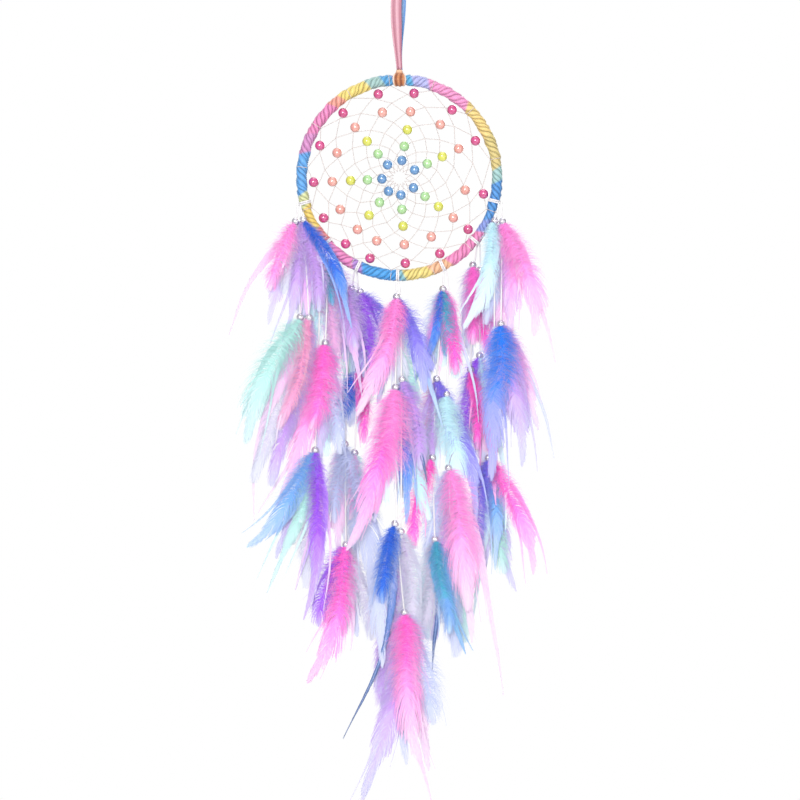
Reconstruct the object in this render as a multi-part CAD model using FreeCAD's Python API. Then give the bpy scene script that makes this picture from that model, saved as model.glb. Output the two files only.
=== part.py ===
import FreeCAD, Part
import math
import os

# A hanging dream catcher: a wire hoop wrapped in dyed satin ribbon, with a beaded thread web,
# hung from a loop of ribbon. Seven doubled cords hang from the hoop, with pearls and feathers.
# Millimetres. +Z is up, +X is to the right seen from the front, and the front faces -Y.
# The origin is the axis of the hook that the ribbon loop hangs on.

V = FreeCAD.Vector

# Hoop
HOOP_OD = 160.0
HOOP_Z = -150.0  # height of the hoop's centre
TUBE_R = 3.75  # radius of the wrapped tube
WIRE_R = 1.5  # steel wire inside the wrap
RING_R = HOOP_OD / 2 - TUBE_R
FIT = 0.05  # gap between the wire and its wrap
# degrees clockwise from the top where the ribbon's dye changes colour
DYE_CHANGES = [
    3.5, 8, 18, 44, 65, 85, 93, 116, 124, 150, 162, 177.5, 181, 203, 209,
    228, 238, 253, 261, 285, 297, 317.5, 324.5, 341.5, 350.5, 357,
]

# Hanging ribbon: a flat satin ribbon folded over the hook, both ends in the knot
HOOK_R = 3.0
RIBBON_T = 0.6
RIBBON_W = 8.4
FRONT_DRIFT = 3.0  # the front leg hangs a little to the left of the hook's middle
BACK_DRIFT = 1.4  # and the back leg a little to the right
NECK_W = 4.6
NECK_Z = HOOP_Z + 84.0

# Knot round the top of the hoop
KNOT_W = 8.6
KNOT_CLEAR = 0.35
KNOT_T = 1.1

# Web: knots alternate between the bead columns and the hitches between them
THREAD_R = 0.25
THREAD_KNOT_R = 0.42
BEAD_COLUMNS = [10, 38, 64, 101, 127, 152, 176, 200, 219, 242, 267, 292, 319, 346]
HITCHES = [20, 47, 79, 110, 135, 160, 185, 209, 231, 251, 276, 302, 329, 354]
KNOT_LAG = 4.5  # degrees from a bead column back to its knots
COLUMN_RADII = [65.2, 50.4, 36.4, 23.6, 12.8]
HITCH_RADII = [72.2, 58.4, 43.2, 29.6, 17.6, 8.8]
CENTRE_R = 5.2
WEB_BEAD_R = 3.9
WEB_BEAD_RINGS = ["pink", "salmon", "yellow", "green", "blue"]
FULL_RINGS = 2  # the outer rings have a bead in every column, the others in every second one
BEAD_SHIFT = 0.083  # from its knot to a bead, as a share of the ring's radius

# Strands
CORD_R = 0.65
BORE_R = 0.75
PEARL_R = 3.0
CORD_HITCH_R = TUBE_R + FIT + CORD_R  # from the tube's centre to the hitched cord's centre
LAYER = 6.4  # spacing of the strands' layers, front to back
START_R = 83.0  # where the cords leave their hitch
START_GAP = 0.9  # half the distance between a strand's two cords there
START_DEPTH = 0.55  # share of the layer's depth there

# Feathers: thin blades beside the cord, a deeper pair of slots for each lower tier
BLADE_T = 0.5
BLADE_SLOT = 1.1
SLOT_STEP = 0.6
SLOTS = [0, 1, 2, 0]
BLADE_MIDDLE = 0.42  # share of the length where a blade is widest
BEAD_GAP = 0.15

# Each strand: its angle on the hoop, its layer, its two cords and its tiers.
# Cord points are (x, z) from the hoop's centre, below the start at the hoop.
# A tier lists its pearls as (cord, z) and its feathers as (cord, lean, length, width, bow):
# lean in degrees to the right of straight down, bow the sideways curve of the middle.
STRANDS = [
    {
        "angle": 255, "layer": -1,
        "a": [(-80.8, -34.5), (-76.8, -114)],
        "b": [(-74.2, -33), (-70.1, -114)],
        "tiers": [
            ([("a", -34.5), ("b", -33)],
             [("b", 24, 90, 16, 6), ("a", -20, 55, 17, -2), ("b", -10, 95, 12, 3), ("a", -9, 55, 20, 1),
              ("b", 1, 90, 11, 2), ("a", -31, 100, 7, -5)]),
            ([("a", -109), ("b", -109.3)],
             [("b", -10, 90, 17, 4), ("a", -29, 105, 31, -6), ("b", -21, 100, 11, -3),
              ("a", -13, 160, 8, -10)]),
        ],
    },
    {
        "angle": 228, "layer": 0,
        "a": [(-61, -68.5), (-65.7, -217)],
        "b": [(-54.4, -66), (-58, -134)],
        "tiers": [
            ([("a", -68.5), ("b", -66)],
             [("a", 17, 30, 9, 1), ("b", 17, 70, 23, 3), ("a", -11, 65, 11, -2), ("b", 13, 105, 11, 5),
              ("a", -10, 45, 14, 1)]),
            ([("b", -129)],
             [("b", -17, 130, 30, 5), ("b", -13, 80, 17, -3), ("b", 7, 85, 19, 2),
              ("b", -21, 140, 8, 8)]),
            ([("a", -212.7)],
             [("a", -4, 130, 16, 7), ("a", -35, 90, 19, 6), ("a", -19, 115, 11, 5),
              ("a", -2, 115, 11, 4), ("a", -12, 55, 12, 1)]),
        ],
    },
    {
        "angle": 205, "layer": 1,
        "a": [(-37.4, -86), (-43, -208), (-41.6, -291)],
        "b": [(-30, -88.3), (-35, -219)],
        "tiers": [
            ([("a", -86), ("b", -88.3)],
             [("b", 6, 75, 22, 2), ("a", 3, 110, 17, 3), ("b", 31, 50, 14, 2), ("a", -6, 55, 16, -1),
              ("a", 2, 35, 11, 1)]),
            ([("b", -150)],
             [("b", 5, 55, 12, 2), ("b", -18, 40, 19, -1), ("b", -23, 60, 12, -2)]),
            ([("a", -207.7), ("b", -214.5)],
             [("a", 11, 125, 23, 4), ("b", -4, 50, 7, 1), ("b", 12, 40, 11, 1), ("a", -7, 60, 17, -2)]),
            ([("a", -286.6)],
             [("a", -15, 110, 23, 7), ("a", -19, 65, 20, -4), ("a", 15, 75, 19, 3),
              ("a", 3, 80, 8, 2)]),
        ],
    },
    {
        "angle": 181, "layer": -1,
        "a": [(-2, -93.2), (-4.4, -270), (4.4, -343)],
        "b": [(2.6, -94), (1.2, -280)],
        "tiers": [
            ([("a", -93.2)],
             [("a", -19, 95, 19, 6), ("a", 17, 75, 19, 4), ("a", -10, 80, 14, -2),
              ("a", 19, 105, 9, 4)]),
            ([("a", -163.7), ("b", -157.4)],
             [("a", -17, 130, 34, 6), ("b", 12, 70, 20, 4), ("a", -5, 90, 20, -3),
              ("b", 13, 80, 8, 3), ("b", 20, 18, 8, 1), ("b", 1, 110, 16, 3)]),
            ([("a", -269.9), ("b", -275.7)],
             [("b", -15, 165, 12, 9), ("a", -8, 60, 14, -2), ("a", -5, 110, 19, -4),
              ("b", 6, 85, 20, 4)]),
            ([("a", -338.9)],
             [("a", 8, 145, 28, -7), ("a", -13, 150, 23, 8), ("a", 13, 85, 20, 4),
              ("a", -13, 70, 16, -3)]),
        ],
    },
    {
        "angle": 154, "layer": 0,
        "a": [(34.1, -86.9), (24.8, -220), (27.9, -287)],
        "b": [(39.8, -88), (36.5, -169), (38.6, -231)],
        "tiers": [
            ([("a", -86.9)],
             [("a", 3, 50, 12, 1), ("a", -20, 95, 6, 6), ("a", 8, 65, 16, 2), ("a", -14, 45, 9, -1),
              ("a", -2, 65, 9, 1), ("a", 15, 105, 5, 4)]),
            ([("a", -157), ("b", -169)],
             [("b", 4, 85, 20, 3), ("a", 16, 115, 17, 5), ("a", -3, 65, 9, -2), ("b", -19, 45, 11, -2)]),
            ([("a", -218.3), ("b", -226.4)],
             [("a", -12, 70, 16, -3), ("b", 13, 180, 30, 9), ("b", -12, 75, 19, -2),
              ("b", 7, 135, 20, 4)]),
            ([("a", -282.1)],
             [("a", 15, 90, 16, -4), ("a", -9, 80, 19, 3), ("a", -1, 100, 8, 3)]),
        ],
    },
    {
        "angle": 130, "layer": 1,
        "a": [(57, -67.7), (55.8, -154)],
        "b": [(63.4, -71.5), (62, -139), (70, -223)],
        "tiers": [
            ([("a", -67.7), ("b", -71.5)],
             [("a", 0, 60, 17, 2), ("b", 10, 50, 17, 2), ("a", -11, 85, 5, 4), ("b", 6, 65, 17, -2)]),
            ([("a", -149.8), ("b", -138.7)],
             [("a", 5, 60, 12, 2), ("b", 9, 135, 9, 5), ("a", 11, 105, 11, 4), ("b", -9, 75, 16, -3)]),
            ([("b", -218.8)],
             [("b", 23, 95, 20, 6), ("b", -6, 80, 17, -3), ("b", 4, 85, 12, 2), ("b", -6, 125, 11, 4)]),
        ],
    },
    {
        "angle": 104, "layer": -1,
        "a": [(73.6, -33.7), (74, -118)],
        "b": [(80.3, -34.5), (79, -119)],
        "tiers": [
            ([("a", -33.7), ("b", -34.5)],
             [("a", -15, 85, 19, 6), ("b", 21, 90, 27, 7), ("b", 14, 65, 20, 3), ("b", 5, 85, 19, 2),
              ("b", 20, 115, 8, 6)]),
            ([("b", -114.2)],
             [("b", -4, 120, 22, -4), ("b", 10, 110, 27, 5), ("b", 22, 65, 19, 2), ("b", 24, 85, 19, 4),
              ("b", 22, 110, 6, 5)]),
        ],
    },
]


def write(name, solids):
    """Writes one node, a single solid or a group of separate ones."""
    shape = solids[0] if len(solids) == 1 else Part.makeCompound(solids)
    shape.exportStep(f"parts/{name}.step")
    print(name, len(solids), "solids", round(sum(s.Volume for s in solids), 1), "mm3", shape.isValid())


def polar(angle, radius, y=0.0):
    """A point in the hoop's plane, by its angle clockwise from the top."""
    turn = math.radians(angle)
    return V(radius * math.sin(turn), y, HOOP_Z + radius * math.cos(turn))


def around(shape, angle):
    """The shape, made at the top of the hoop, moved round the hoop to an angle."""
    return shape.rotated(V(0, 0, HOOP_Z), V(0, 1, 0), angle)


def rod(start, end, radius):
    return Part.makeCylinder(radius, (end - start).Length, start, end - start)


# Hoop


def hoop_core():
    return Part.makeTorus(RING_R, WIRE_R, V(0, 0, HOOP_Z), V(0, 1, 0))


def hoop_wrap():
    """The wrapped ribbon as one shell for each dyed stretch, end to end round the wire."""
    top = V(0, 0, HOOP_Z + RING_R)
    outer = Part.Wire(Part.makeCircle(TUBE_R, top, V(1, 0, 0)))
    inner = Part.Wire(Part.makeCircle(WIRE_R + FIT, top, V(1, 0, 0)))
    section = Part.makeFace([outer, inner], "Part::FaceMakerBullseye")
    ends = DYE_CHANGES[1:] + [DYE_CHANGES[0] + 360]
    return [
        around(section.revolve(V(0, 0, HOOP_Z), V(0, 1, 0), end - start), start)
        for start, end in zip(DYE_CHANGES, ends)
    ]


# Hanging ribbon and its knot


def ribbon_section(x, y, z, width):
    """A flat cross-section of the ribbon, level at height z, as a wire."""
    corners = [
        V(x - width / 2, y - RIBBON_T / 2, z), V(x + width / 2, y - RIBBON_T / 2, z),
        V(x + width / 2, y + RIBBON_T / 2, z), V(x - width / 2, y + RIBBON_T / 2, z),
    ]
    return Part.makePolygon(corners + corners[:1])


def ribbon_leg(side, drift):
    """One hanging leg, from the hook down to the knot, drifting sideways a little on its way."""
    y_top = side * (HOOK_R + RIBBON_T / 2)
    sections = [
        ribbon_section(0, y_top, 0, RIBBON_W),
        ribbon_section(drift, y_top * 0.85, -12, RIBBON_W),
        ribbon_section(0, side * RIBBON_T * 0.6, NECK_Z, NECK_W),
    ]
    return Part.makeLoft(sections, True, True)


def hanger_ribbon():
    axis = V(1, 0, 0)
    left = V(-RIBBON_W / 2, 0, 0)
    bight = Part.makeCylinder(HOOK_R + RIBBON_T, RIBBON_W, left, axis)
    bight = bight.cut(Part.makeCylinder(HOOK_R, RIBBON_W, left, axis))
    reach = 2 * HOOK_R + 2 * RIBBON_T
    bight = bight.common(Part.makeBox(RIBBON_W, reach, reach, left - V(0, reach / 2, 0)))
    legs = [ribbon_leg(-1, -FRONT_DRIFT), ribbon_leg(1, BACK_DRIFT)]
    return bight.fuse(legs).removeSplitter().Solids[0]


def hanger_knot():
    """A band round the hoop's top, free to tilt on it, with a gathered neck that grips the ribbon."""
    centre = V(-KNOT_W / 2, 0, HOOP_Z + RING_R)
    axis = V(1, 0, 0)
    inner_r = TUBE_R + KNOT_CLEAR
    bore = Part.makeCylinder(inner_r, KNOT_W, centre, axis)
    band = Part.makeCylinder(inner_r + KNOT_T, KNOT_W, centre, axis)
    shoulder_z = HOOP_Z + RING_R + TUBE_R
    neck = Part.makeCone(KNOT_W / 2, NECK_W / 2, NECK_Z - shoulder_z, V(0, 0, shoulder_z))
    return band.fuse(neck).cut(bore).removeSplitter().Solids[0]


# Web


def web_knots():
    """Rings of knots from the hoop inwards, hitch columns and bead columns by turns."""
    rings = []
    for i, radius in enumerate(HITCH_RADII):
        rings.append([polar(a, radius) for a in HITCHES])
        if i < len(COLUMN_RADII):
            rings.append([polar(a - KNOT_LAG, COLUMN_RADII[i]) for a in BEAD_COLUMNS])
    rings.append([polar(a - KNOT_LAG, CENTRE_R) for a in BEAD_COLUMNS])
    return rings


def web_rounds():
    """The stretches of thread in each round of the web, as pairs of knots, from the hoop inwards."""
    rings = web_knots()
    count = len(HITCHES)
    rounds = []
    for i, (outer, inner) in enumerate(zip(rings, rings[1:])):
        step = 1 if i % 2 == 0 else -1  # the hitch columns stand clockwise of their bead columns
        rounds.append([(outer[k], inner[(k + s) % count]) for k in range(count) for s in (0, step)])
    return rounds


def web_thread():
    """The long thread, one solid for each round with its row of knots, and its hitches on the hoop."""
    solids = []
    for stretches, knots in zip(web_rounds(), web_knots()[1:]):
        rods = [rod(a, b, THREAD_R) for a, b in stretches]
        balls = [Part.makeSphere(THREAD_KNOT_R, p) for p in knots]
        solids += rods[0].multiFuse(rods[1:] + balls).Solids
    loop_r = TUBE_R + FIT + THREAD_R
    loop = Part.makeTorus(loop_r, THREAD_R, V(0, 0, HOOP_Z + RING_R), V(1, 0, 0))
    return solids + [around(loop, a) for a in HITCHES]


def web_beads(ring):
    """The pearly beads of one ring, each threaded next to a knot, clockwise of it."""
    columns = range(0, len(BEAD_COLUMNS), 1 if ring < FULL_RINGS else 2)
    radius = COLUMN_RADII[ring]
    beads = []
    for k in columns:
        knot = polar(BEAD_COLUMNS[k] - KNOT_LAG, radius)
        hitch = polar(HITCHES[k], HITCH_RADII[ring])
        centre = knot + (hitch - knot).normalize() * (radius * BEAD_SHIFT)
        bead = Part.makeSphere(WEB_BEAD_R, centre)
        reach = Part.Vertex(centre)
        near = [
            rod(a, b, THREAD_KNOT_R + FIT)
            for stretches in web_rounds()
            for a, b in stretches
            if Part.LineSegment(a, b).toShape().distToShape(reach)[0] < WEB_BEAD_R + THREAD_R
        ]
        beads.append(bead.cut(near).Solids[0])
    return beads


# Strands


def cord_points(strand, leg):
    """The points that a cord runs through, from its hitch on the hoop down to its end."""
    depth = strand["layer"] * LAYER
    start = polar(strand["angle"], START_R, depth * START_DEPTH)
    start.x += START_GAP * (-1 if leg == "a" else 1)
    return [start] + [V(x, depth, HOOP_Z + z) for x, z in strand[leg]]


def cord_route(points):
    """Straight runs joined by tangent arcs, each as large as its two runs allow."""
    edges = []
    start = points[0]
    for before, corner, after in zip(points, points[1:], points[2:]):
        back = before - corner
        onward = after - corner
        reach = 0.45 * min(back.Length, onward.Length)
        half_turn = (math.pi - back.getAngle(onward)) / 2
        back.normalize()
        onward.normalize()
        radius = reach / math.tan(half_turn)
        inward = (back + onward).normalize()
        middle = corner + inward * (radius / math.cos(half_turn) - radius)
        first, last = corner + back * reach, corner + onward * reach
        edges += [Part.LineSegment(start, first).toShape(), Part.Arc(first, middle, last).toShape()]
        start = last
    edges.append(Part.LineSegment(start, points[-1]).toShape())
    return Part.Wire(edges)


def tube(points, radius):
    ring = Part.Wire(Part.makeCircle(radius, points[0], points[1] - points[0]))
    return cord_route(points).makePipeShell([ring], True, False)


def cord(points):
    """One cord's solid, with its arcs' radii and its volume against section times length printed."""
    solid = tube(points, CORD_R)
    route = cord_route(points)
    radii = [round(edge.Curve.Radius, 1) for edge in route.Edges if hasattr(edge.Curve, "Radius")]
    share = solid.Volume / (math.pi * CORD_R**2 * route.Length)
    print("  arc radii", radii, "length", round(route.Length, 1), "volume share", round(share, 3))
    return solid


def cord_hitches():
    """The two turns of each doubled cord, side by side round the hoop."""
    turn = Part.makeTorus(CORD_HITCH_R, CORD_R, V(0, 0, HOOP_Z + RING_R), V(1, 0, 0))
    spread = math.degrees((CORD_R + FIT) / RING_R)
    return [around(turn, s["angle"] + side * spread) for s in STRANDS for side in (-1, 1)]


def pearl_centre(strand, leg, z):
    """The point on a cord nearest to the given height."""
    points = cord_points(strand, leg)
    aim = V(0, 0, 0)
    for upper, lower in zip(points, points[1:]):
        if lower.z <= HOOP_Z + z <= upper.z:
            aim = upper + (lower - upper) * ((upper.z - HOOP_Z - z) / (upper.z - lower.z))
    return cord_route(points).distToShape(Part.Vertex(aim))[1][0][0]


def pearls(strand):
    bores = {leg: tube(cord_points(strand, leg), BORE_R) for leg in ("a", "b")}
    return [
        Part.makeSphere(PEARL_R, pearl_centre(strand, leg, z)).cut(bores[leg]).Solids[0]
        for beads, _ in strand["tiers"]
        for leg, z in beads
    ]


def blade(root, lean, length, width, bow, thickness):
    """A feather's outline as two arcs from its quill to its tip, thickened front to back."""
    turn = math.radians(lean)
    along = V(math.sin(turn), 0, -math.cos(turn))
    across = V(math.cos(turn), 0, math.sin(turn))
    tip = root + along * length
    middle = root + along * (BLADE_MIDDLE * length) + across * bow
    right = Part.Arc(root, middle + across * (width / 2), tip).toShape()
    left = Part.Arc(tip, middle - across * (width / 2), root).toShape()
    return Part.Face(Part.Wire([right, left])).extrude(V(0, thickness, 0))


def feathers(strand, tier):
    """The feathers of one tier, by turns in front of and behind their cords, clear of every pearl."""
    beads, plumes = strand["tiers"][tier]
    every_pearl = [
        Part.makeSphere(PEARL_R + BEAD_GAP, pearl_centre(strand, leg, z))
        for others, _ in strand["tiers"]
        for leg, z in others
    ]
    centres = {leg: pearl_centre(strand, leg, z) for leg, z in beads}
    blades = []
    for i, (leg, lean, length, width, bow) in enumerate(plumes):
        side = -1 if i % 2 == 0 else 1
        turn = math.radians(lean)
        quill = V(math.sin(turn), 0, -math.cos(turn)) * (PEARL_R + BEAD_GAP)
        slot = V(0, side * (BLADE_SLOT + SLOT_STEP * SLOTS[tier]), 0)
        solid = blade(centres[leg] + quill + slot, lean, length, width, bow, side * BLADE_T)
        near = [p for p in every_pearl if p.BoundBox.intersect(solid.BoundBox)]
        cleared = solid.cut(near) if near else solid
        blades.append(max(cleared.Solids, key=lambda s: s.Volume))
    return blades


os.makedirs("parts", exist_ok=True)
write("hanger_ribbon", [hanger_ribbon()])
write("hanger_knot", [hanger_knot()])
write("hoop_core", [hoop_core()])
write("hoop_wrap", hoop_wrap())
write("web_thread", web_thread())
for ring, colour in enumerate(WEB_BEAD_RINGS):
    write(f"web_beads_{colour}", web_beads(ring))
write("cord_hitches", cord_hitches())
for number, strand in enumerate(STRANDS, start=1):
    for leg in ("a", "b"):
        write(f"strand_{number}_cord_{leg}", [cord(cord_points(strand, leg))])
    write(f"strand_{number}_pearls", pearls(strand))
    for tier in range(len(strand["tiers"])):
        write(f"strand_{number}_feathers_{tier + 1}", feathers(strand, tier))
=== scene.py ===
import math
import random

import bpy
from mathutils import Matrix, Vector


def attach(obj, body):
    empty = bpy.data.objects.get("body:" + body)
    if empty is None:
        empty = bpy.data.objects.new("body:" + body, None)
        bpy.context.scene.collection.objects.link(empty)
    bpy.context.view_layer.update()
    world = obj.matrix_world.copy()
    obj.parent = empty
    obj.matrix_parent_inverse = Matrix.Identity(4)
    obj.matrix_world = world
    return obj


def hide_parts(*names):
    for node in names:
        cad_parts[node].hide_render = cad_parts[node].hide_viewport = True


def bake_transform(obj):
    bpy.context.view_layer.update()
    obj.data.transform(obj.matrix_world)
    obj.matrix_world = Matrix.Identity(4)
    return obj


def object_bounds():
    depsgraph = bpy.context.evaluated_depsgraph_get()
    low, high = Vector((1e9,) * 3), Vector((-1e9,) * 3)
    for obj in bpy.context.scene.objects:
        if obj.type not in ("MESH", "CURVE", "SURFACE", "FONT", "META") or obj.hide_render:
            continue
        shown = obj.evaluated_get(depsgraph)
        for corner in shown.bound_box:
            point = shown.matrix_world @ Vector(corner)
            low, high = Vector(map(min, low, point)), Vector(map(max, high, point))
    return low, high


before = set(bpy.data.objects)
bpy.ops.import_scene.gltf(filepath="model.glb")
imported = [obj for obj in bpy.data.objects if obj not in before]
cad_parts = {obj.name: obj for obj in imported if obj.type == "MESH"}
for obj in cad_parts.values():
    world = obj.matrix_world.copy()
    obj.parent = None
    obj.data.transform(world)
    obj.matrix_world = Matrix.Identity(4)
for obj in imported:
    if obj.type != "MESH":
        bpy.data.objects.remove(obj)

# The looks of a hanging dream catcher: satin ribbon, pearly beads, cords and feathers.
# Metres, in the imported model's own frame: +Z up, +X to the right, the front faces -Y.

CAD_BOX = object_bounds()
MM = 0.001

# Hoop, as in the design
HOOP_Z = -0.150
TUBE_R = 3.75 * MM
RING_R = 80 * MM - TUBE_R

# Hanging ribbon and knot
RIBBON_W = 8.4 * MM
NECK_W = 4.6 * MM
NECK_Z = HOOP_Z + 84 * MM
RIBBON_T = 0.3 * MM

# Strands
CORD_R = 0.65 * MM
LAYER = 6.4 * MM
START_R = 81.0 * MM  # the cords come out from under their hitch
START_GAP = 0.9 * MM
START_DEPTH = 0.55
PEARL_R = 3.0 * MM

# Each strand: its angle on the hoop, its layer, its two cords and its tiers, in millimetres from
# the hoop's centre. A tier lists its pearls as (cord, z) and its feathers, front to back, as
# (cord, lean, length, width, bow, colour, kind).
STRANDS = [
    {
        "angle": 255, "layer": -1,
        "a": [(-80.8, -34.5), (-76.8, -114)],
        "b": [(-74.2, -33), (-70.1, -114)],
        "tiers": [
            ([("a", -34.5), ("b", -33)],
             [("b", 24, 90, 11, 6, "royal", "hackle"), ("a", -20, 55, 19, -2, "pink", "down"),
              ("b", 10, 70, 20, 2, "mauve", "down"), ("b", -10, 95, 12, 3, "mauve", "hackle"),
              ("a", -9, 55, 20, 1, "silver", "down"),
              ("b", 1, 90, 11, 2, "orchid", "hackle"), ("a", -31, 100, 7, -5, "rose", "wisp")]),
            ([("a", -109), ("b", -109.3)],
             [("a", -24, 105, 25, -5, "mint", "hackle"), ("b", -15, 88, 15, 4, "salmon", "down"),
              ("b", -21, 100, 11, -3, "rose", "hackle"), ("a", -13, 160, 8, -10, "rose", "wisp")]),
        ],
    },
    {
        "angle": 228, "layer": 0,
        "a": [(-61, -68.5), (-65.7, -217)],
        "b": [(-54.4, -66), (-58, -134)],
        "tiers": [
            ([("a", -68.5), ("b", -66)],
             [("a", 17, 30, 9, 1, "teal", "down"), ("b", 17, 70, 23, 3, "mauve", "down"),
              ("a", -11, 65, 11, -2, "ice", "hackle"), ("b", 13, 105, 11, 5, "orchid", "hackle"),
              ("a", -10, 45, 14, 1, "pink", "down")]),
            ([("b", -129)],
             [("b", -9, 66, 31, 2, "hot", "down"), ("b", -17, 130, 22, 5, "pink", "hackle"),
              ("b", -13, 80, 17, -3, "pink", "down"), ("b", 7, 85, 19, 2, "mist", "down"),
              ("b", -21, 140, 8, 8, "rose", "wisp")]),
            ([("a", -212.7)],
             [("a", -4, 130, 16, 7, "purple", "hackle"), ("a", -35, 90, 19, 6, "sky", "hackle"),
              ("a", -19, 115, 11, 5, "mint", "hackle"), ("a", -2, 115, 11, 4, "orchid", "hackle"),
              ("a", -12, 55, 12, 1, "ice", "down")]),
        ],
    },
    {
        "angle": 205, "layer": 1,
        "a": [(-37.4, -86), (-43, -208), (-41.6, -291)],
        "b": [(-30, -88.3), (-35, -219)],
        "tiers": [
            ([("a", -86), ("b", -88.3)],
             [("b", 6, 75, 22, 2, "purple", "down"), ("a", 3, 110, 17, 3, "mist", "hackle"),
              ("b", 31, 50, 14, 2, "violet", "down"), ("a", -6, 55, 16, -1, "mauve", "down"),
              ("a", 2, 35, 11, 1, "mint", "down")]),
            ([("b", -150)],
             [("b", 5, 55, 12, 2, "magenta", "down"), ("b", -18, 40, 19, -1, "royal", "down"),
              ("b", -23, 60, 12, -2, "orchid", "down")]),
            ([("a", -207.7), ("b", -214.5)],
             [("a", 11, 125, 23, 4, "mist", "hackle"), ("b", -4, 50, 7, 1, "pink", "down"),
              ("b", 12, 40, 11, 1, "mint", "down"), ("a", -7, 60, 17, -2, "mist", "down")]),
            ([("a", -286.6)],
             [("a", -15, 110, 23, 7, "hot", "hackle"), ("a", -19, 65, 20, -4, "purple", "down"),
              ("a", 15, 75, 19, 3, "silver", "down"), ("a", 3, 80, 8, 2, "rose", "wisp")]),
        ],
    },
    {
        "angle": 181, "layer": -1,
        "a": [(-2, -93.2), (-4.4, -270), (4.4, -343)],
        "b": [(2.6, -94), (1.2, -280)],
        "tiers": [
            ([("a", -93.2)],
             [("a", -19, 95, 21, 6, "pink", "hackle"), ("a", -12, 42, 18, 2, "magenta", "down"),
              ("a", 17, 75, 19, 4, "violet", "hackle"), ("a", -10, 80, 14, -2, "mauve", "hackle"),
              ("a", 19, 105, 9, 4, "sky", "wisp")]),
            ([("a", -163.7), ("b", -157.4)],
             [("a", -9, 75, 34, 3, "pink", "down"), ("a", -17, 130, 24, 6, "hot", "hackle"),
              ("b", 12, 70, 20, 4, "mauve", "down"), ("a", -5, 90, 20, -3, "ice", "hackle"),
              ("b", 13, 80, 8, 3, "dusk", "wisp"), ("b", 20, 18, 8, 1, "sky", "down"),
              ("b", 1, 110, 16, 3, "royal", "hackle")]),
            ([("a", -269.9), ("b", -275.7)],
             [("a", -8, 60, 16, -2, "royal", "down"), ("b", -15, 165, 7, 9, "dusk", "wisp"),
              ("a", -5, 110, 20, -4, "mist", "hackle"), ("b", 6, 85, 20, 4, "silver", "down")]),
            ([("a", -338.9)],
             [("a", 0, 62, 22, 2, "hot", "down"), ("a", 6, 115, 26, -4, "pink", "hackle"),
              ("a", -13, 150, 24, 8, "mauve", "hackle"), ("a", 8, 150, 10, -7, "pink", "wisp"),
              ("a", 14, 88, 24, 4, "mist", "down"), ("a", -13, 75, 20, -3, "mauve", "down")]),
        ],
    },
    {
        "angle": 154, "layer": 0,
        "a": [(34.1, -86.9), (24.8, -220), (27.9, -287)],
        "b": [(39.8, -88), (36.5, -169), (38.6, -231)],
        "tiers": [
            ([("a", -86.9)],
             [("a", -20, 95, 8, 6, "royal", "wisp"), ("a", 3, 50, 15, 1, "teal", "down"),
              ("a", 8, 65, 16, 2, "magenta", "down"), ("a", -14, 45, 9, -1, "orchid", "down"),
              ("a", -2, 65, 9, 1, "pink", "hackle"), ("a", 15, 105, 5, 4, "mist", "wisp")]),
            ([("a", -157), ("b", -169)],
             [("b", -2, 45, 21, 1, "ice", "down"), ("b", 4, 85, 20, 3, "ice", "hackle"),
              ("a", 16, 115, 17, 5, "violet", "hackle"),
              ("a", -3, 65, 9, -2, "mauve", "down"), ("b", -19, 45, 11, -2, "ice", "down")]),
            ([("a", -218.3), ("b", -226.4)],
             [("a", -12, 70, 16, -3, "magenta", "down"), ("b", 7, 110, 30, 4, "pink", "hackle"),
              ("b", 13, 180, 9, 9, "rose", "wisp"),
              ("b", -12, 75, 19, -2, "mist", "down"), ("b", 7, 135, 20, 4, "rose", "hackle")]),
            ([("a", -282.1)],
             [("a", 15, 90, 12, -4, "teal", "hackle"), ("a", 9, 72, 17, 2, "sky", "down"),
              ("a", -9, 80, 19, 3, "silver", "down"),
              ("a", -1, 100, 8, 3, "dusk", "wisp")]),
        ],
    },
    {
        "angle": 130, "layer": 1,
        "a": [(57, -67.7), (55.8, -154)],
        "b": [(63.4, -71.5), (62, -139), (70, -223)],
        "tiers": [
            ([("a", -67.7), ("b", -71.5)],
             [("a", 0, 60, 17, 2, "hot", "down"), ("b", 10, 50, 17, 2, "orchid", "down"),
              ("a", -11, 85, 5, 4, "mist", "wisp"), ("b", 6, 65, 17, -2, "magenta", "down")]),
            ([("a", -149.8), ("b", -138.7)],
             [("a", 5, 60, 12, 2, "magenta", "down"), ("b", 9, 135, 9, 5, "ice", "wisp"),
              ("a", 11, 105, 11, 4, "magenta", "hackle"), ("b", -9, 75, 16, -3, "purple", "down")]),
            ([("b", -218.8)],
             [("b", 21, 95, 17, 7, "hot", "hackle"), ("b", -6, 80, 17, -3, "violet", "down"),
              ("b", 4, 85, 12, 2, "sky", "hackle"), ("b", -6, 125, 11, 4, "ice", "wisp")]),
        ],
    },
    {
        "angle": 104, "layer": -1,
        "a": [(73.6, -33.7), (74, -118)],
        "b": [(80.3, -34.5), (79, -119)],
        "tiers": [
            ([("a", -33.7), ("b", -34.5)],
             [("a", -15, 85, 15, 6, "ice", "vane"), ("b", 16, 90, 21, 7, "pink", "hackle"),
              ("b", 10, 62, 16, 2, "pink", "down"), ("b", 5, 85, 19, 2, "orchid", "hackle"),
              ("b", 20, 115, 8, 6, "rose", "wisp")]),
            ([("b", -114.2)],
             [("b", -1, 64, 26, 1, "bright", "down"), ("b", -3, 120, 23, -3, "periwinkle", "hackle"),
              ("b", 8, 110, 20, 4, "mauve", "hackle"),
              ("b", 17, 62, 15, 2, "orchid", "down"), ("b", 19, 85, 16, 3, "blush", "hackle"),
              ("b", 22, 110, 6, 5, "mist", "wisp")]),
        ],
    },
]

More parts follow.
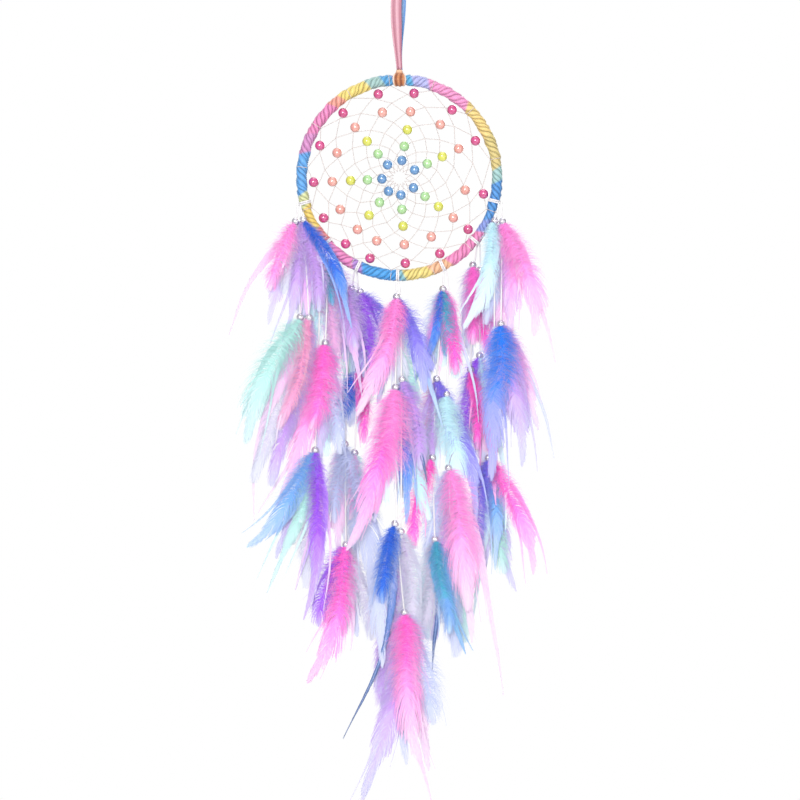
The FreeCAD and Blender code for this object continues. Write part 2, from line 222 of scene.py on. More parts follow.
# Feather dyes: at the quill, in the middle and at the tip
DYES = {
    "pink": ("#fd92e0", "#fbb2e8", "#f1d8ee"),
    "hot": ("#ff6cd6", "#fe9ce6", "#f2ccec"),
    "magenta": ("#ff58cc", "#fc84dc", "#f2b8e6"),
    "salmon": ("#f6a4d0", "#eeb6da", "#e8cce4"),
    "rose": ("#ecb0e2", "#eac4e6", "#eadaee"),
    "blush": ("#f8aede", "#ecc4e8", "#e2d6ee"),
    "orchid": ("#e69aea", "#e4b2ec", "#e6d0f0"),
    "mauve": ("#c89cea", "#ccb4ea", "#d2d0ee"),
    "purple": ("#a252ee", "#b884f0", "#ccb8f0"),
    "violet": ("#8270e8", "#9c96ea", "#b6bcf0"),
    "periwinkle": ("#7e9cf0", "#a4a8ec", "#bab8ec"),
    "royal": ("#2e64da", "#5088e4", "#a2bcec"),
    "bright": ("#2486f4", "#5c9ef4", "#a8c4f4"),
    "sky": ("#70a8ea", "#96bcee", "#bed4f0"),
    "teal": ("#4caccc", "#6cb6d8", "#92b8e4"),
    "mint": ("#b6e4e0", "#bce2e0", "#d2e6ec"),
    "ice": ("#c6ecf6", "#d2eaf5", "#e0eef6"),
    "mist": ("#c0c8ec", "#c8d0ec", "#d4d8f0"),
    "silver": ("#d8d0e6", "#d4d6e8", "#dedfec"),
    "dusk": ("#98ace8", "#6c8ace", "#586e9a"),
}
PALE_DYES = ["ice", "rose", "mist", "mauve", "mint", "silver", "mist"]
DYE_STEPS = 6

# Hoop ribbon dyes: degrees clockwise from the top where each begins
HOOP_DYES = [
    (3.5, "#58b0e0"), (8, "#b4b6ea"), (18, "#f29acb"), (44, "#f3d588"), (65, "#dfcb86"), (85, "#a5cdcb"),
    (93, "#5699de"), (116, "#8e9fe2"), (124, "#f08ec1"), (150, "#f3bc95"), (162, "#efda84"),
    (177.5, "#8bc0cd"), (181, "#4a9fe4"), (203, "#b38bd4"), (209, "#ec8cc4"), (228, "#f0908f"),
    (238, "#f2d26e"), (253, "#dbe0a6"), (261, "#66aaea"), (285, "#d590c6"), (297, "#ec8cc0"),
    (317.5, "#f0a292"), (324.5, "#f0d87c"), (341.5, "#a5c7c3"), (350.5, "#5aa4da"), (357, "#b9a9dc"),
    (363.5, "#58b0e0"),
]


def camera():
    """Looks along +Y at the whole drop, from far enough away to look almost flat."""
    distance, view_width = 3.0, 0.624
    data = bpy.data.cameras.new("camera")
    data.sensor_width = 36
    data.lens = data.sensor_width * distance / view_width
    eye = bpy.data.objects.new("camera", data)
    eye.location = (0.0005, -distance, HOOP_Z - 0.1735)
    eye.rotation_euler = (math.radians(90), 0, 0)
    bpy.context.scene.collection.objects.link(eye)
    bpy.context.scene.camera = eye


# Colours and materials


def rgb(code):
    """A hex colour as linear red, green, blue and 1."""
    parts = [int(code[i:i + 2], 16) / 255 for i in (1, 3, 5)]
    return [p / 12.92 if p <= 0.04045 else ((p + 0.055) / 1.055) ** 2.4 for p in parts] + [1.0]


def mix(one, other, share):
    return [a + (b - a) * share for a, b in zip(one, other)]


def material(name, base, roughness=0.6, sheen=0.0, coat=0.0, specular=0.5):
    made = bpy.data.materials.new(name)
    made.use_nodes = True
    shader = shader_of(made)
    shader.inputs["Base Color"].default_value = base
    shader.inputs["Roughness"].default_value = roughness
    shader.inputs["Sheen Weight"].default_value = sheen
    shader.inputs["Coat Weight"].default_value = coat
    shader.inputs["Coat Roughness"].default_value = 0.12
    shader.inputs["Specular IOR Level"].default_value = specular
    return made


def shader_of(made):
    return made.node_tree.nodes["Principled BSDF"]


def node(made, kind, **values):
    new = made.node_tree.nodes.new(kind)
    for key, value in values.items():
        if hasattr(new, key):
            setattr(new, key, value)
        else:
            new.inputs[key].default_value = value
    return new


def join(made, source, target):
    made.node_tree.links.new(source, target)


def bump(made, height, strength, distance):
    """Feeds a height into the shader's normal."""
    dent = node(made, "ShaderNodeBump", Strength=strength, Distance=distance)
    join(made, height, dent.inputs["Height"])
    join(made, dent.outputs["Normal"], shader_of(made).inputs["Normal"])


def place(made):
    return node(made, "ShaderNodeTexCoord").outputs["Object"]


def satin(name, layer, strength=0.25):
    """Satin whose colour, the dye together with any painted shade and highlight, is painted on the mesh,
    with a fine uneven grain.
    """
    made = material(name, (1, 1, 1, 1), roughness=0.42, sheen=0.25, specular=0.35)
    paint = node(made, "ShaderNodeVertexColor", layer_name=layer)
    streak = node(made, "ShaderNodeTexNoise", Scale=900.0, Detail=3.0)
    join(made, place(made), streak.inputs["Vector"])
    tint = node(made, "ShaderNodeMix", data_type="RGBA", blend_type="MULTIPLY")
    tint.inputs["Factor"].default_value = 0.18
    join(made, paint.outputs["Color"], tint.inputs["A"])
    join(made, streak.outputs["Color"], tint.inputs["B"])
    join(made, tint.outputs["Result"], shader_of(made).inputs["Base Color"])
    bump(made, streak.outputs["Fac"], strength, 0.0004)
    return made


def pearly(name, code, deep, roughness=0.28):
    """A pearly bead: a body colour with faint drifting nacre, under a clear coat."""
    made = material(name, rgb(code), roughness=roughness, coat=1.0, specular=0.6)
    shader_of(made).inputs["Coat IOR"].default_value = 2.1
    drift = node(made, "ShaderNodeTexNoise", Scale=260.0, Detail=4.0, Distortion=1.2)
    join(made, place(made), drift.inputs["Vector"])
    ramp = node(made, "ShaderNodeValToRGB")
    ramp.color_ramp.elements[0].position = 0.35
    ramp.color_ramp.elements[0].color = rgb(deep)
    ramp.color_ramp.elements[1].position = 0.62
    ramp.color_ramp.elements[1].color = rgb(code)
    join(made, drift.outputs["Fac"], ramp.inputs["Fac"])
    join(made, ramp.outputs["Color"], shader_of(made).inputs["Base Color"])
    return made


def corded(name, code, lay=1500.0):
    """Twisted cord: slanting strands as a bump."""
    made = material(name, rgb(code), roughness=0.75, sheen=0.3, specular=0.2)
    twist = node(made, "ShaderNodeTexWave", Scale=lay, Distortion=1.5, Detail=1.0)
    twist.bands_direction = "DIAGONAL"
    join(made, place(made), twist.inputs["Vector"])
    bump(made, twist.outputs["Fac"], 0.5, 0.0003)
    return made


def drawn_wire(name, code):
    """Drawn steel wire, with faint scratches."""
    made = material(name, rgb(code), roughness=0.3)
    shader_of(made).inputs["Metallic"].default_value = 1.0
    scratch = node(made, "ShaderNodeTexNoise", Scale=700.0, Detail=3.0)
    join(made, place(made), scratch.inputs["Vector"])
    bump(made, scratch.outputs["Fac"], 0.2, 0.0001)
    return made


def ridged(made):
    """The fine grain of barbules."""
    grain = node(made, "ShaderNodeTexNoise", Scale=2600.0, Detail=2.0)
    join(made, place(made), grain.inputs["Vector"])
    bump(made, grain.outputs["Fac"], 0.3, 0.0001)


def dye_materials():
    """For each feather dye, its steps from the quill to the tip, and a pale one for the shaft."""
    sets = {}
    for name, codes in DYES.items():
        quill, middle, tip = (rgb(code) for code in codes)
        steps = []
        for i in range(DYE_STEPS):
            share = i / (DYE_STEPS - 1)
            tone = mix(quill, middle, share * 2) if share < 0.5 else mix(middle, tip, share * 2 - 1)
            dyed = material(f"feather_{name}_{i + 1}", tone, roughness=0.7, sheen=0.2, specular=0.2)
            ridged(dyed)
            steps.append(dyed)
        shaft = material(f"shaft_{name}", mix(middle, (1, 1, 1, 1), 0.5), roughness=0.4, specular=0.4)
        ridged(shaft)
        steps.append(shaft)
        sets[name] = steps
    return sets


# Mesh making


class Skin:
    """Collects points and faces, with a material slot for each face."""

    def __init__(self):
        self.points, self.faces, self.slots = [], [], []

    def strip(self, line, sides, slots):
        """A flat strip along a line of points, each with the half-width vector beside it."""
        first = len(self.points)
        for point, side in zip(line, sides):
            self.points += [point - side, point + side]
        for i in range(len(line) - 1):
            k = first + 2 * i
            self.faces.append((k, k + 1, k + 3, k + 2))
            self.slots.append(slots[i])

    def rod(self, line, radii, slot, count=5):
        """A thin round rod along a line of points."""
        first = len(self.points)
        for i, point in enumerate(line):
            ahead = (line[min(i + 1, len(line) - 1)] - line[max(i - 1, 0)]).normalized()
            across = ahead.cross(Vector((0, 1, 0))).normalized()
            front = across.cross(ahead)
            for j in range(count):
                turn = 2 * math.pi * j / count
                self.points.append(point + (across * math.cos(turn) + front * math.sin(turn)) * radii[i])
        for i in range(len(line) - 1):
            for j in range(count):
                a = first + i * count + j
                b = first + i * count + (j + 1) % count
                self.faces.append((a, b, b + count, a + count))
                self.slots.append(slot)

    def build(self, name, materials, smooth=True):
        mesh = bpy.data.meshes.new(name)
        mesh.from_pydata(self.points, [], self.faces)
        for made in materials:
            mesh.materials.append(made)
        mesh.polygons.foreach_set("material_index", self.slots)
        mesh.polygons.foreach_set("use_smooth", [smooth] * len(self.faces))
        mesh.update()
        made = bpy.data.objects.new(name, mesh)
        bpy.context.scene.collection.objects.link(made)
        return made


def polar(angle, radius, y=0.0):
    """A point in the hoop's plane, by its angle clockwise from the top."""
    turn = math.radians(angle)
    return Vector((radius * math.sin(turn), y, HOOP_Z + radius * math.cos(turn)))


def smooth(value):
    value = min(max(value, 0.0), 1.0)
    return value * value * (3 - 2 * value)


def mixed(one, other, share):
    """Between two numbers; mix() does the same for colours."""
    return one + (other - one) * share


# Hoop wrap


def hoop_colour(angle):
    """The ribbon's dye at an angle, with a short blend between neighbours."""
    angle = (angle - 3.5) % 360 + 3.5
    for (start, code), (end, after) in zip(HOOP_DYES, HOOP_DYES[1:]):
        if start <= angle < end:
            return mix(rgb(code), rgb(after), 0.5 * smooth((angle - end + 1.6) / 1.6))
    return rgb(HOOP_DYES[0][1])


# Where the wrap is pressed flat, as (angle, half-width) in degrees: under the knot, and where the
# top pearls of strands 7 and 1 lie against it
PRESSED = [(0, 3), (114, 4), (246, 4)]


def wrap_slack(angle):
    """How full the wrap's turns are at an angle, as a share."""
    away = [abs((angle - mark + 180) % 360 - 180) - half for mark, half in PRESSED]
    return mixed(0.3, 1.0, smooth(min(away) / 3))


def hoop_wrap():
    """Ribbon wound tight round the ring in slanting, uneven turns, with painted shade in the grooves
    between them.
    """
    turns, lead = 112, 6  # turns round the hoop, and how many of them one goes past on its slant
    around, along = 28, 1620
    rng = random.Random(11)
    starts = [k + rng.uniform(-0.24, 0.24) for k in range(turns)]
    swell = [rng.uniform(0.55, 1.2) for _ in range(turns)]
    # How dark the painted shade in the groove after each turn is
    crease_shade = [rng.choice((0.7, 1.0, 1.0)) for _ in range(turns)]
    skin = Skin()
    colours = []
    for i in range(along):
        angle = 360 * i / along
        slack = wrap_slack(angle)
        for j in range(around):
            v = 2 * math.pi * j / around
            phase = (turns * i / along + lead * j / around + 0.25 * math.sin(2 * v)) % turns
            k = int(phase)
            k = k - 1 if phase < starts[k] else k + (1 if k + 1 < turns and phase >= starts[k + 1] else 0)
            k %= turns
            begin = starts[k] if k or phase < turns / 2 else starts[k] + turns
            finish = starts[(k + 1) % turns] + (turns if k == turns - 1 and phase > turns / 2 else 0)
            share = min(max((phase - begin) / max(finish - begin, 0.1), 0.0), 1.0)
            crest = math.sin(math.pi * share) ** 0.6
            pleat = 0.07 * math.sin(2 * math.pi * (share * 3 + 0.3 * k))
            edge = abs(math.cos(v))
            r = TUBE_R + (slack * ((1.0 + 0.6 * edge) * crest * swell[k] + pleat) - 0.85) * MM
            skin.points.append(polar(angle, RING_R + r * math.cos(v), -r * math.sin(v)))
            tone = hoop_colour(angle + 1.4 * math.cos(v))
            # Painted shade: deep is a darkened copy of the dye, and lit is the share of the dye a point
            # keeps. The grooves between turns are painted dark, more so towards the ring's inner and outer
            # rims.
            deep = [0.1 * c ** 1.5 for c in tone[:3]]
            lit = 1 - crease_shade[k] * (0.7 + 0.3 * edge) * (1 - smooth(crest * 1.08))
            streak = 1.0 + 0.09 * math.sin(2 * math.pi * share * 2.5 + 2 * k)
            colours.append([min(c * streak, 1.0) for c in mix(deep, tone[:3], lit)] + [1.0])
    for i in range(along):
        for j in range(around):
            a, b = i * around + j, i * around + (j + 1) % around
            c, d = (i + 1) % along * around + (j + 1) % around, (i + 1) % along * around + j
            skin.faces.append((a, b, c, d))
            skin.slots.append(0)
    wrap = skin.build("hoop_satin", [satin("hoop_satin", "dye_and_painted_light")])
    paint(wrap, "dye_and_painted_light", colours)
    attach(wrap, "hoop")
    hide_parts("hoop_wrap")


def paint(piece, layer, colours):
    attribute = piece.data.color_attributes.new(layer, "FLOAT_COLOR", "POINT")
    attribute.data.foreach_set("color", [value for colour in colours for value in colour])


# Hanging ribbon and its knot


def hanging_ribbon():
    """One satin ribbon up from the knot, over the hook and back down, pink in front, blue behind."""
    line = ribbon_line()
    wide = 12
    skin = Skin()
    colours = []
    for i, (point, ahead, width, share) in enumerate(line):
        out = ahead.cross(Vector((1, 0, 0))).normalized()
        fold = 0.9 * MM * smooth(abs(share - 0.5) * 2.4 - 0.1)
        for j in range(wide + 1):
            s = 2 * j / wide - 1
            dent = fold * (abs(s + 0.1) - 0.5) + 0.12 * MM * math.sin(9 * s + 14 * share)
            skin.points.append(point + Vector((s * width / 2, 0, 0)) + out * dent)
            pink = mix(rgb("#b87688"), rgb("#dfaab8"), smooth(0.5 + 0.9 * math.sin(5.2 * s + 0.6)))
            blue = mix(rgb("#5f93d6"), rgb("#86b0e2"), smooth(0.5 + 0.8 * math.sin(4.4 * s)))
            lilac = mix(pink, blue, smooth((share - 0.47) / 0.08))
            colours.append(lilac)
    for i in range(len(line) - 1):
        for j in range(wide):
            a = i * (wide + 1) + j
            skin.faces.append((a, a + 1, a + wide + 2, a + wide + 1))
            skin.slots.append(0)
    ribbon = skin.build("ribbon_loop", [satin("ribbon_satin", "dye_and_painted_light", 0.15)])
    paint(ribbon, "dye_and_painted_light", colours)
    thick = ribbon.modifiers.new("thickness", "SOLIDIFY")
    thick.thickness = RIBBON_T
    thick.offset = 0
    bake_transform(ribbon)
    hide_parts("hanger_ribbon")


# The ribbon's route over the hook, as in the design, with its two legs kept apart down to the neck
RIBBON_ROUTE = [
    (0.2, -0.36, -66), (-1.6, -2.3, -48), (-3.0, -3.1, -12), (-0.4, -3.3, -1), (0, -3.3, 3.9),
    (0, 3.3, 3.9), (0.2, 3.3, -1), (1.4, 3.1, -12), (-1.5, 2.3, -48), (0.2, 0.36, -66),
]


def spline_points(route):
    """The smooth line that a route of control points gives."""
    data = bpy.data.curves.new("route", "CURVE")
    data.dimensions = "3D"
    data.resolution_u = 12
    spline = data.splines.new("NURBS")
    spline.points.add(len(route) - 1)
    for slot, point in zip(spline.points, route):
        slot.co = (*point, 1)
    spline.order_u = 3
    spline.use_endpoint_u = True
    line = bpy.data.objects.new("route", data)
    mesh = bpy.data.meshes.new_from_object(line)
    points = [vertex.co.copy() for vertex in mesh.vertices]
    bpy.data.objects.remove(line)
    bpy.data.meshes.remove(mesh)
    return points


def ribbon_line():
    """The ribbon's line as (point, ahead, width, share of its length)."""
    points = spline_points([Vector(point) * MM for point in RIBBON_ROUTE])
    last = len(points) - 1
    rows = []
    for i, point in enumerate(points):
        ahead = (points[min(i + 1, last)] - points[max(i - 1, 0)]).normalized()
        width = NECK_W + (RIBBON_W - NECK_W) * smooth((point.z - NECK_Z) / (0.6 * -NECK_Z))
        rows.append((point, ahead, width, i / last))
    return rows


def knot():
    """The copper knot: ribbon gathered round the hoop's top, with folded edges and a neck; its edges, the
    crests of its folds and the top of its neck carry painted highlights, and its folds painted shade.
    """
    skin = Skin()
    colours = []
    around, across = 48, 20
    centre = Vector((0, 0, HOOP_Z + RING_R))
    for i in range(around):
        v = 2 * math.pi * i / around
        half = (5.3 - 1.2 * abs(math.cos(v)) ** 2) * MM
        for j in range(across + 1):
            s = 2 * j / across - 1
            fold = math.sin(8 * s + 2.2 * math.sin(v) + 0.7)
            r = TUBE_R + (1.45 - 0.6 * abs(s) ** 3 + 0.28 * fold) * MM
            skin.points.append(centre + Vector((s * half, -r * math.sin(v), r * math.cos(v))))
            # Painted shade and highlight: the copper is painted darker down in the folds and lighter on
            # their crests, and both edges of the band are painted pale as a highlight.
            tone = mix(rgb("#874628"), rgb("#cf8a5c"), 0.5 + 0.5 * fold)
            colours.append(mix(tone, rgb("#f4dac6"), smooth((abs(s) - 0.7) / 0.2)))
    ring(skin, around, across)
    first, gathers = len(skin.points), 10
    foot = HOOP_Z + RING_R + TUBE_R + 0.4 * MM
    for k in range(gathers + 1):
        share = k / gathers
        for j in range(across + 1):
            turn = 2 * math.pi * j / (across + 1)
            r = (3.4 - 1.3 * share) * MM * (1 + 0.09 * math.sin(5 * turn))
            height = mixed(foot, NECK_Z, share)
            skin.points.append(Vector((r * math.cos(turn), 0.8 * r * math.sin(turn), height)))
            # Painted highlight: the neck is painted paler towards its top.
            colours.append(mix(rgb("#a05c3a"), rgb("#f2bf9a"), smooth(share * 1.4)))
    for k in range(gathers):
        for j in range(across + 1):
            a, b = first + k * (across + 1) + j, first + k * (across + 1) + (j + 1) % (across + 1)
            skin.faces.append((a, b, b + across + 1, a + across + 1))
            skin.slots.append(0)
    tied = skin.build("copper_knot", [satin("copper_satin", "dye_and_painted_light", 0.2)])
    paint(tied, "dye_and_painted_light", colours)
    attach(tied, "knot")
    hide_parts("hanger_knot")


def ring(skin, around, across):
    """Faces for rows of points that close round a tube."""
    for i in range(around):
        for j in range(across):
            a, d = i * (across + 1) + j, (i + 1) % around * (across + 1) + j
            skin.faces.append((a, a + 1, d + 1, d))
            skin.slots.append(0)


# Cords


def cord_points(strand, leg):
    """The route of one cord, in metres, from under its hitch down to its knotted end."""
    depth = strand["layer"] * LAYER
    start = polar(strand["angle"], START_R, depth * START_DEPTH)
    start.x += START_GAP * (-1 if leg == "a" else 1)
    return [start] + [Vector((x * MM, depth, HOOP_Z + z * MM)) for x, z in strand[leg]]


END_KNOT_SIZE = 0.42 * MM
END_KNOT_CORD_R = 0.5 * MM


def end_knot(name, place_at, made):
    """A small overhand knot, tied tight in the cord's end."""
    skin = Skin()
    line = []
    for i in range(49):
        t = 2 * math.pi * i / 48
        x = math.sin(t) + 2 * math.sin(2 * t)
        z = math.cos(t) - 2 * math.cos(2 * t)
        line.append(place_at + Vector((x, -math.sin(3 * t), z)) * END_KNOT_SIZE)
    skin.rod(line, [END_KNOT_CORD_R] * len(line), 0, 8)
    return skin.build(name, [made])


def cord(number, strand, leg, made):
    name = f"strand_{number}_white_cord_{leg}"
    points = cord_points(strand, leg)
    data = bpy.data.curves.new(name, "CURVE")
    data.dimensions = "3D"
    data.bevel_depth = CORD_R
    data.bevel_resolution = 3
    data.resolution_u = 12
    spline = data.splines.new("NURBS")
    spline.points.add(len(points) - 1)
    for slot, point in zip(spline.points, points):
        slot.co = (*point, 1)
    spline.order_u = 3
    spline.use_endpoint_u = True
    data.materials.append(made)
    piece = bpy.data.objects.new(name, data)
    bpy.context.scene.collection.objects.link(piece)
    body = f"strand_{number}"
    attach(piece, body)
    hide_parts(f"{body}_cord_{leg}")
    tied = end_knot(f"{body}_knot_{leg}", points[-1], made)
    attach(tied, body)


# Feathers

# For each kind: the share of its length that is loose down, where it starts to narrow, where its
# thin tip starts, the tip's width as a share, barbs on each side to the millimetre, and how loose
# the down is
KINDS = {
    "down": (0.8, 0.5, 0.9, 0.36, 6.6, 1.0),
    "hackle": (0.48, 0.36, 0.72, 0.3, 6.4, 1.0),
    "vane": (0.4, 0.4, 0.8, 0.3, 6.0, 0.9),
    "wisp": (0.25, 0.2, 0.6, 0.4, 3.0, 0.6),
}


def outline(t, narrow, slim, tip):
    """A feather's half-width at a share of its length, as a share of its widest half-width."""
    rise = 0.5 + 0.5 * smooth(t / 0.09)
    fall = 1 - (1 - tip) * smooth((t - narrow) / (slim - narrow))
    return rise * fall * (1 - 0.8 * smooth((t - slim) / (1 - slim)))


def feather(skin, root, plume, depth, first_slot, rng):
    """One feather: a tapered shaft, loose down near the quill and smoother barbs to a thin tip."""
    _, lean, length, width, bow, _, kind = plume
    down, narrow, slim, tip, density, loose = KINDS[kind]
    turn = math.radians(lean)
    along = Vector((math.sin(turn), 0, -math.cos(turn)))
    across = Vector((math.cos(turn), 0, math.sin(turn)))
    long, half, bow = length * MM, width * MM / 2, bow * MM
    curl = rng.uniform(-1.2, 2.6) * MM

    def spine(t):
        sway = bow * math.sin(math.pi * t) + 0.01 * long * math.sin(7 * t + lean)
        return root + along * (long * t) + across * sway + Vector((0, depth + curl * t * t, 0))

    shares = [i / 16 for i in range(17)]
    sunk = [Vector((0, 0.7 * MM * (1 - smooth((t - down) * 4)), 0)) for t in shares]  # behind the down
    stalk = [spine(t) + back for t, back in zip(shares, sunk)]
    skin.rod(stalk, [(0.24 - 0.19 * t) * MM for t in shares], first_slot + DYE_STEPS, 4)
    count = int(length * density)
    for side in (-1, 1):
        tuft, lean_off, grow = 0, 0.0, 0.0
        for i in range(count):
            if i >= tuft:
                tuft = i + rng.randint(3, 11)
                lean_off, grow = rng.gauss(0, 5), rng.uniform(-0.34, 0.2)
            t = min((i + rng.random()) / count, 0.995)
            fluffy = 1 - smooth((t - down * 0.6) / (down * 0.5))
            wild = loose * fluffy
            slant = mixed(mixed(32, 9, smooth(t / 0.9)), 62, fluffy) + lean_off * (0.25 + 1.4 * wild)
            slant = math.radians(max(slant + 28 * wild * rng.uniform(-1, 1), 5))
            uneven = 1 + grow * (0.35 + 0.4 * fluffy) + wild * rng.uniform(-0.5, 0.3)
            reach = half * outline(t, narrow, slim, tip) * uneven
            span = min(reach / math.sin(slant), (1 - t) * long * rng.uniform(0.5, 1.02) + 0.8 * MM)
            tone = 1.3 * t / down if t < down else mixed(2.2, DYE_STEPS, (t - down) / (1 - down))
            tone += rng.gauss(0, 0.6)
            barb(skin, spine, t, side, span, slant, wild, tone, first_slot, rng)
    for _ in range(int((10 + 130 * loose) * min(half / (8 * MM), 1))):
        t = rng.random() ** 1.4 * down
        slant = math.radians(rng.uniform(25, 105))
        span = half * rng.uniform(0.7, 1.5) * (0.4 + 0.6 * smooth(t / 0.15))
        barb(skin, spine, t, rng.choice((-1, 1)), span, slant, 1.0, 1.5 + 2 * t, first_slot, rng)


def companions(plume, rng):
    """Thin hackles that come out with a feather, at slightly different leans."""
    leg, lean, length, _, bow, colour, kind = plume
    if kind == "wisp" or length < 50:
        return []
    found = []
    for side in (-1, 1):
        far = length * rng.uniform(0.72, 1.08)
        off = lean + side * rng.uniform(2.5, 8.0)
        found.append((leg, off, far, rng.uniform(3.2, 5.5), bow + side * rng.uniform(0, 3), colour, "wisp"))
    return found


def underdown(plumes, rng):
    """Pale feathers at the back of a cluster, which fill it out."""
    leans = [plume[1] for plume in plumes]
    centre, reach = (min(leans) + max(leans)) / 2, (max(leans) - min(leans)) / 2
    long = max(plume[2] for plume in plumes)
    found = []
    for i in (-1, 0, 1):
        lean = centre * 0.7 + reach * 0.5 * (i + rng.uniform(-0.3, 0.3))
        kind = rng.choice(("down", "hackle"))
        size = (long * rng.uniform(0.55, 0.85), rng.uniform(15, 21), rng.uniform(-4, 4))
        found.append((rng.choice(plumes)[0], lean, *size, rng.choice(PALE_DYES), kind))
    return found


def barb(skin, spine, t, side, span, slant, wild, tone, first_slot, rng):
    """One barb, a thin curved strip from the shaft outwards and towards the tip."""
    ahead = (spine(min(t + 0.02, 1)) - spine(max(t - 0.02, 0))).normalized()
    out = Vector((-ahead.z, 0, ahead.x)) * side
    reach, forward = span * math.sin(slant), span * math.cos(slant)
    lift = rng.uniform(-1, 1) * (0.3 + 2.8 * wild) * MM
    wave = rng.uniform(-1, 1) * 1.1 * wild * MM
    tilt = rng.uniform(-1, 1) * (0.3 + 0.9 * wild)
    broad = (0.13 + 0.08 * (1 - wild)) * MM
    base = spine(t)
    line, sides, slots = [], [], []
    for k in range(4):
        s = k / 3
        point = base + out * (reach * math.sin(1.35 * s) / math.sin(1.35)) + ahead * (forward * s ** 1.4)
        line.append(point + Vector((0, lift * s * s, 0)) + ahead * (wave * math.sin(4 * s)))
        beside = (ahead * math.cos(1.1 * s) - out * math.sin(1.1 * s)) * math.cos(tilt)
        sides.append((beside + Vector((0, math.sin(tilt), 0))) * broad * (1 - 0.8 * s))
        slots.append(first_slot + min(max(int(tone + (0.6 + 0.6 * wild) * k), 0), DYE_STEPS - 1))
    skin.strip(line, sides, slots[:3])


def cord_at(strand, leg, z):
    """The point on a cord's route at a height, in millimetres from the hoop's centre."""
    points = cord_points(strand, leg)
    height = HOOP_Z + z * MM
    for upper, lower in zip(points, points[1:]):
        if lower.z <= height <= upper.z:
            return upper.lerp(lower, (upper.z - height) / (upper.z - lower.z))
    return points[-1]


# The top clusters of strands 1 and 7 hang just in front of the hoop, and stay in front as they swing
BESIDE_HOOP = (1, 7)
HOOP_CLEAR_Y = -(TUBE_R + 1.1 * MM)

FAN_DEPTH = 5.2 * MM  # of a cluster, from its first feather to its last
QUILL_START = 0.7 * PEARL_R  # the quills start inside their pearl
THIN_BEHIND = 0.8 * MM


def feather_cluster(number, strand, tier, dyes):
    """All the feathers of one tier, fanned from front to back, as one piece."""
    beads, plumes = strand["tiers"][tier]
    rng = random.Random(100 * number + tier)
    skin = Skin()
    named = len(plumes)
    plumes = plumes + underdown(plumes, rng)
    materials, slots = [], {}
    for plume in plumes:
        if plume[5] not in slots:
            slots[plume[5]] = len(materials)
            materials += dyes[plume[5]]
    heights = dict(beads)
    for i, plume in enumerate(plumes):
        leg, lean = plume[0], plume[1]
        share = i / max(len(plumes) - 1, 1)
        depth = (share - 0.5) * FAN_DEPTH
        turn = math.radians(lean)
        root = cord_at(strand, leg, heights[leg])
        root = root + Vector((math.sin(turn), 0, -math.cos(turn))) * QUILL_START
        feather(skin, root, plume, depth, slots[plume[5]], rng)
        for thin in companions(plume, rng) if i < named else []:
            feather(skin, root, thin, depth + THIN_BEHIND, slots[plume[5]], rng)
    if tier == 0 and number in BESIDE_HOOP:
        for point in skin.points:
            point.y = min(point.y, HOOP_CLEAR_Y + 0.1 * (point.y - HOOP_CLEAR_Y))
    body = f"strand_{number}"
    piece = skin.build(f"{body}_plumes_{tier + 1}", materials)
    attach(piece, body)
    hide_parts(f"{body}_feathers_{tier + 1}")


# CAD nodes that keep their shape


def dress(node_name, made):
    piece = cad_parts[node_name]
    for slot in piece.material_slots:
        slot.material = made
    for face in piece.data.polygons:
        face.use_smooth = True


def web_and_beads():
    dress("web_beads_pink", pearly("pearly_pink", "#d63488", "#b81c68"))
    dress("web_beads_salmon", pearly("pearly_salmon", "#eeaa9e", "#dc8c80"))
    dress("web_beads_yellow", pearly("pearly_yellow", "#dfe04c", "#c6c832"))
    dress("web_beads_green", pearly("pearly_green", "#b2de9e", "#94c880"))
    dress("web_beads_blue", pearly("pearly_blue", "#5e98cc", "#3e78b4"))
    dress("web_thread", corded("web_thread", "#dcd0cc", 2600.0))
    dress("cord_hitches", corded("hitch_cord", "#f2eef0"))
    dress("hoop_core", drawn_wire("wire_steel", "#a8a8aa"))


# Light and floor

TENT_FRONT, TENT_BACK = 0.8, 0.34


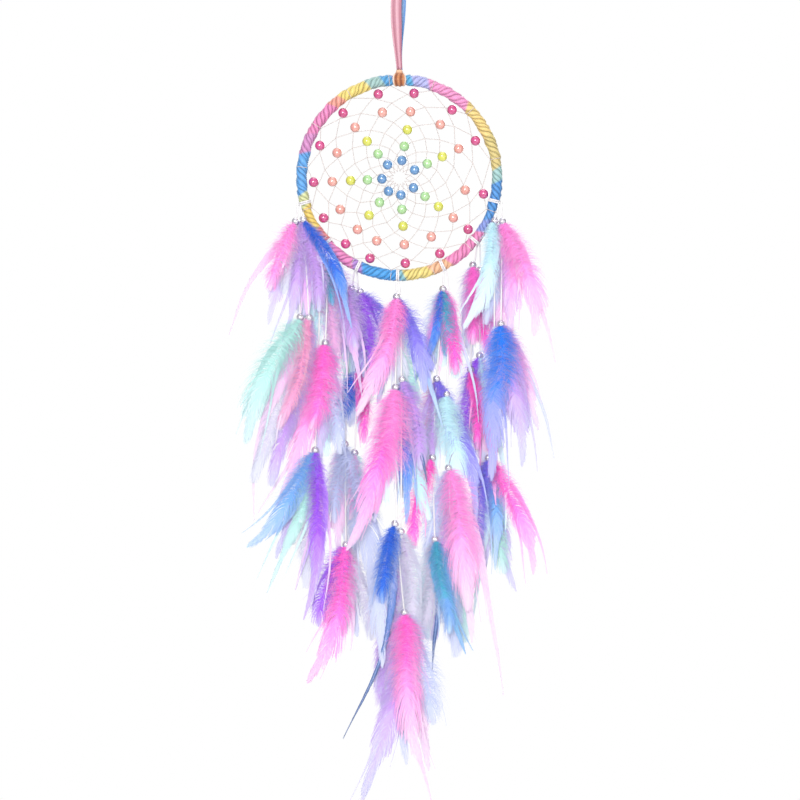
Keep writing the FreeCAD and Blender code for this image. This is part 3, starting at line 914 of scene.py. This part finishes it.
def studio():
    """White behind for the eye, a light tent brighter in front than behind, and a pale floor below."""
    world = bpy.data.worlds.new("tent")
    bpy.context.scene.world = world
    world.use_nodes = True
    tree = world.node_tree
    sky = tree.nodes["Background"]
    sky.inputs["Color"].default_value = (1, 1, 1, 1)
    toward = tree.nodes.new("ShaderNodeTexCoord")
    parts = tree.nodes.new("ShaderNodeSeparateXYZ")
    tree.links.new(toward.outputs["Generated"], parts.inputs["Vector"])
    level = tree.nodes.new("ShaderNodeMapRange")
    tree.links.new(parts.outputs["Y"], level.inputs["Value"])
    for socket, value in (
        ("From Min", -0.9), ("From Max", 0.5), ("To Min", TENT_FRONT), ("To Max", TENT_BACK),
    ):
        level.inputs[socket].default_value = value
    seen = tree.nodes.new("ShaderNodeLightPath")
    choose = tree.nodes.new("ShaderNodeMix")
    tree.links.new(seen.outputs["Is Camera Ray"], choose.inputs["Factor"])
    tree.links.new(level.outputs["Result"], choose.inputs["A"])
    choose.inputs["B"].default_value = 1.0
    tree.links.new(choose.outputs["Result"], sky.inputs["Strength"])
    lamp("key", (-0.45, -2.4, 0.25), 1.1, 37)
    lamp("fill", (1.3, -1.7, -0.5), 1.6, 5)
    lamp("rear", (0.5, 2.4, 0.3), 1.6, 24)
    lamp("top", (0, 0.2, 1.6), 1.6, 16)
    floor_z = CAD_BOX[0][2] - 0.06
    bpy.ops.mesh.primitive_circle_add(vertices=96, radius=0.55, fill_type="NGON", location=(0, 0, floor_z))
    floor = bpy.context.object
    floor.name = "floor"
    floor.data.materials.append(material("floor", (0.93, 0.93, 0.94, 1), roughness=0.9, specular=0.1))
    bpy.context.scene.view_settings.view_transform = "Standard"
    bpy.context.scene.view_settings.exposure = 0.0


def lamp(name, at, size, power):
    data = bpy.data.lights.new(name, "AREA")
    data.shape = "DISK"
    data.size = size
    data.energy = power
    light = bpy.data.objects.new(name, data)
    light.location = at
    aim = Vector((0, 0, HOOP_Z - 0.1)) - Vector(at)
    light.rotation_euler = aim.to_track_quat("-Z", "Y").to_euler()
    bpy.context.scene.collection.objects.link(light)


camera()
white_cord = corded("white_cord", "#f4f1f3")
for number, strand in enumerate(STRANDS, start=1):
    for leg in ("a", "b"):
        cord(number, strand, leg, white_cord)
hanging_ribbon()
knot()
hoop_wrap()
web_and_beads()
pearl = pearly("silver_pearl", "#e6e2ec", "#c4bece", 0.16)
shader_of(pearl).inputs["Metallic"].default_value = 0.75
dyes = dye_materials()
for number, strand in enumerate(STRANDS, start=1):
    dress(f"strand_{number}_pearls", pearl)
    for tier in range(len(strand["tiers"])):
        feather_cluster(number, strand, tier, dyes)
studio()
